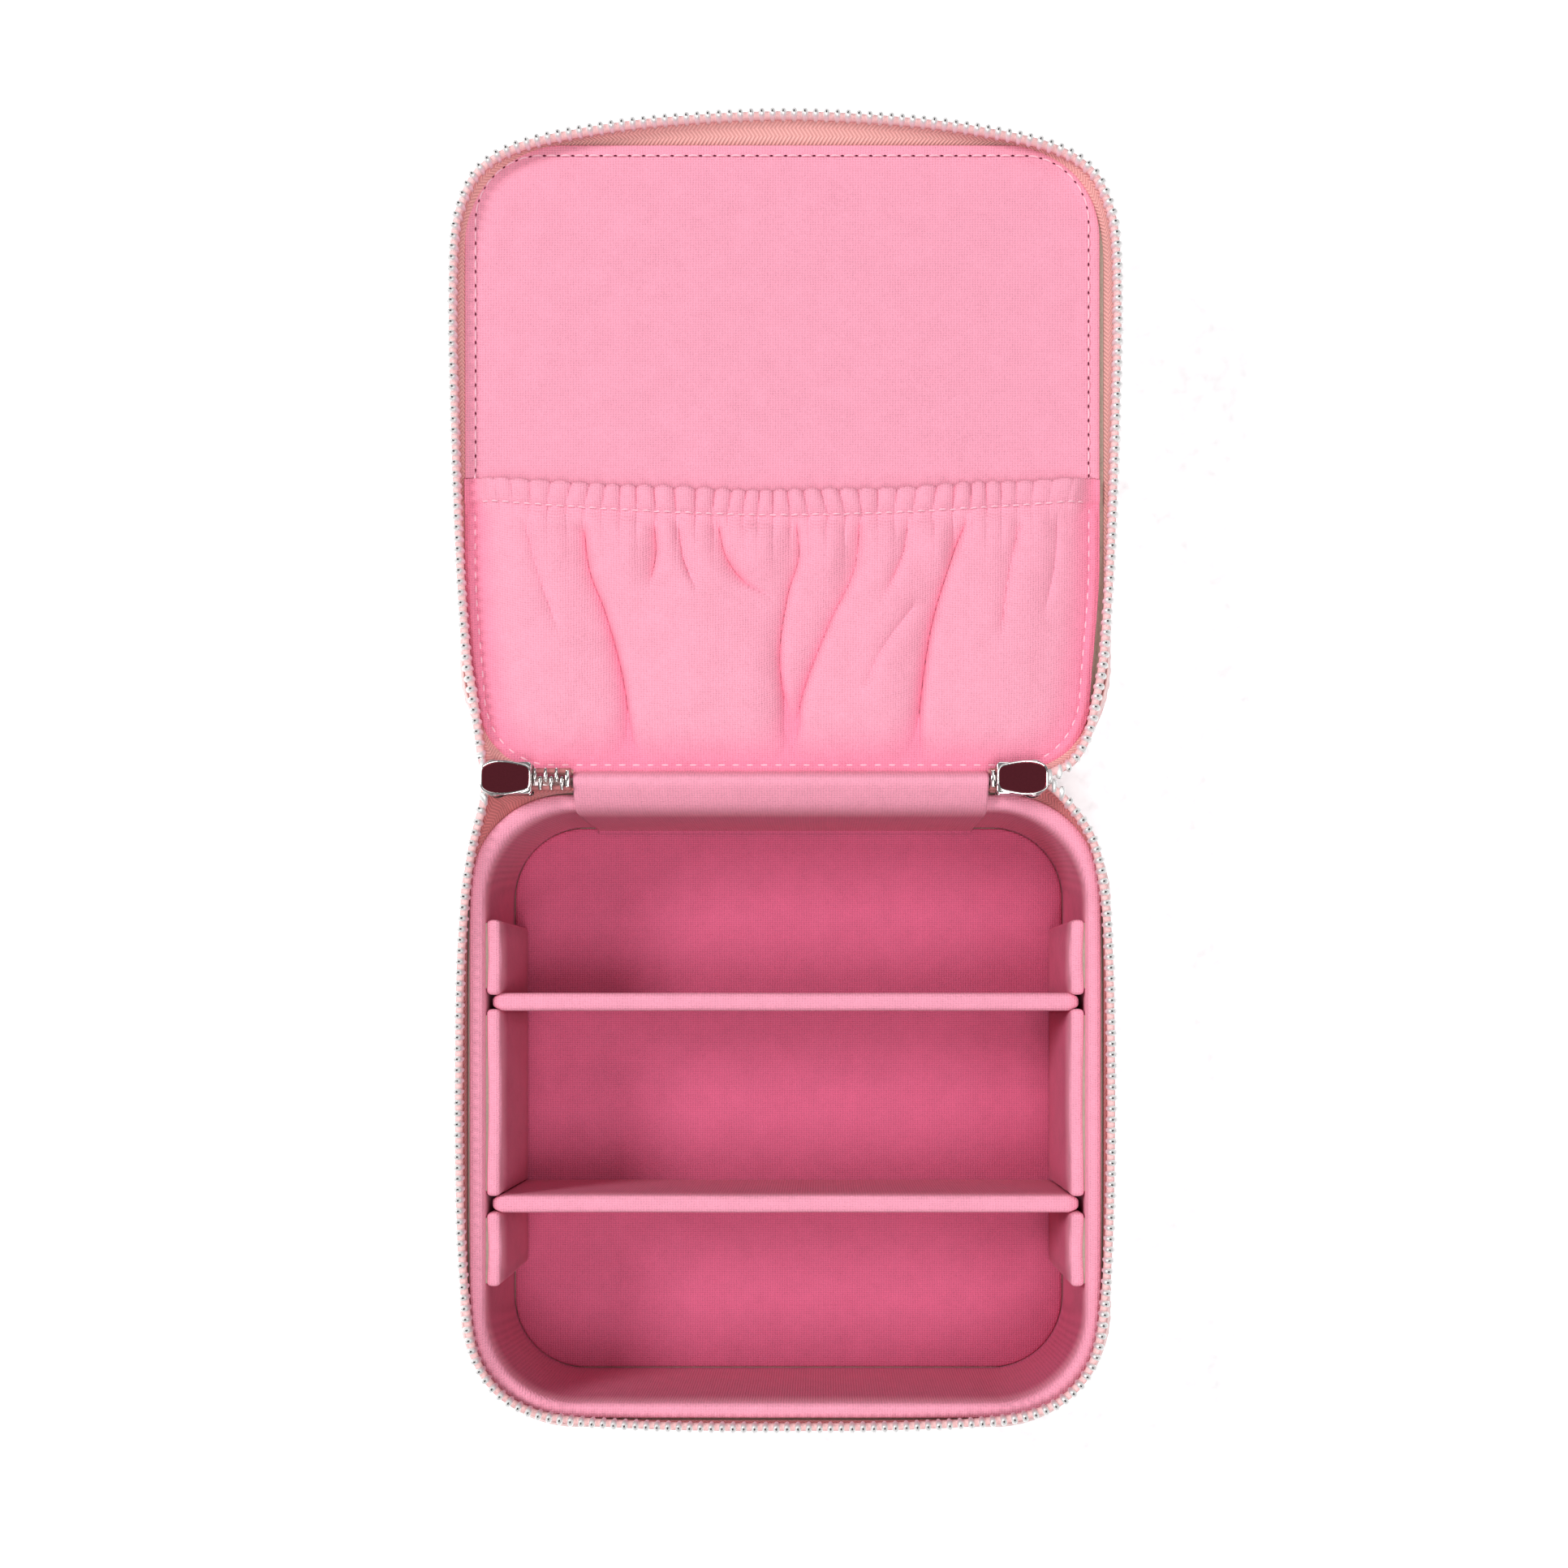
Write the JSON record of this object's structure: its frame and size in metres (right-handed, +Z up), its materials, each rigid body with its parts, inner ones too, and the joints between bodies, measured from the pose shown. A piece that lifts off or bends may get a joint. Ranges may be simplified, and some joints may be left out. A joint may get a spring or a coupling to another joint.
{
  "type": "travel jewellery case",
  "caption": "Zip-around travel jewellery case lying open: velvet-lined tray with lift-out dividers, and a hinged lid with a gathered pocket.",
  "frame": {"origin": "centre of the tray's base, on the surface it stands on", "axes": "+X to the right along the hinge, +Y from the tray to the hinge and the open lid, +Z up out of the tray"},
  "size_m": [0.1528, 0.3014, 0.0503],
  "materials": {
    "shell_leather": "satin",
    "lining_velvet": "matte",
    "greyboard": "matte",
    "foam": "matte",
    "elastic": "matte",
    "zipper_tape": "matte",
    "zipper_teeth": "polished",
    "slider_metal": "polished"
  },
  "bodies": {
    "tray": {"hinge_flap_tray": "lining_velvet", "hinge_strip_tray": "shell_leather", "tray_bottom_board": "greyboard", "tray_bottom_cover": "shell_leather", "tray_floor_card": "greyboard", "tray_floor_lining": "lining_velvet", "tray_side_cover": "shell_leather", "tray_wall_board": "greyboard", "tray_wall_foam": "foam", "tray_wall_liner": "lining_velvet", "tray_zipper_tape": "zipper_tape", "tray_zipper_teeth": "zipper_teeth", "wall_pad_cards": "greyboard", "wall_pad_left_front": "lining_velvet", "wall_pad_left_middle": "lining_velvet", "wall_pad_left_rear": "lining_velvet", "wall_pad_right_front": "lining_velvet", "wall_pad_right_middle": "lining_velvet", "wall_pad_right_rear": "lining_velvet"},
    "lid": {"hinge_flap_lid": "lining_velvet", "hinge_strip_lid": "shell_leather", "lid_fill_foam": "foam", "lid_lining_panel": "lining_velvet", "lid_padding": "foam", "lid_panel_card": "greyboard", "lid_pocket": "lining_velvet", "lid_pocket_elastic": "elastic", "lid_side_cover": "shell_leather", "lid_top_board": "greyboard", "lid_top_cover": "shell_leather", "lid_wall_board": "greyboard", "lid_zipper_tape": "zipper_tape", "lid_zipper_teeth": "zipper_teeth"},
    "divider_rear": {"divider_rear_board": "greyboard", "divider_rear_cover": "lining_velvet"},
    "divider_front": {"divider_front_board": "greyboard", "divider_front_cover": "lining_velvet"},
    "chain_left": {"closed_chain_left": "zipper_teeth"},
    "chain_right": {"closed_chain_right": "zipper_teeth"},
    "slider_left": {"pull_pin_left": "slider_metal", "slider_left": "slider_metal"},
    "slider_right": {"pull_pin_right": "slider_metal", "slider_right": "slider_metal"},
    "pull_left": {"pull_left": "slider_metal"},
    "pull_right": {"pull_right": "slider_metal"}
  },
  "joints": [
    {"name": "lid_hinge", "type": "hinge", "parent": "tray", "child": "lid", "pos_m": [0, 0.0755, 0.048], "axis": [1, 0, 0], "range_deg": [0, 180]},
    {"name": "chain_left_turn", "type": "hinge", "parent": "tray", "child": "chain_left", "pos_m": [0, 0.0755, 0.048], "axis": [1, 0, 0], "range_deg": [0, 90]},
    {"name": "chain_right_turn", "type": "hinge", "parent": "tray", "child": "chain_right", "pos_m": [0, 0.0755, 0.048], "axis": [1, 0, 0], "range_deg": [0, 90]},
    {"name": "slider_left_slide", "type": "slide", "parent": "chain_left", "child": "slider_left", "axis": [1, 0, 0], "range_m": [0, 0.0072]},
    {"name": "slider_right_slide", "type": "slide", "parent": "chain_right", "child": "slider_right", "axis": [1, 0, 0], "range_m": [0, 0.0072]},
    {"name": "pull_left_swing", "type": "hinge", "parent": "slider_left", "child": "pull_left", "pos_m": [-0.0667, 0.0755, 0.0443], "axis": [0, 1, 0], "range_deg": [0, 80]},
    {"name": "pull_right_swing", "type": "hinge", "parent": "slider_right", "child": "pull_right", "pos_m": [0.0574, 0.0755, 0.0443], "axis": [0, -1, 0], "range_deg": [0, 80]},
    {"name": "divider_rear_lift", "type": "slide", "parent": "tray", "child": "divider_rear", "axis": [0, 0, -1], "range_m": [-0.06, 0]},
    {"name": "divider_front_lift", "type": "slide", "parent": "tray", "child": "divider_front", "axis": [0, 0, -1], "range_m": [-0.06, 0]}
  ],
  "couplings": [
    {"joint": "chain_left_turn", "follows": "lid_hinge", "ratio": 0.5},
    {"joint": "chain_right_turn", "follows": "lid_hinge", "ratio": 0.5}
  ]
}
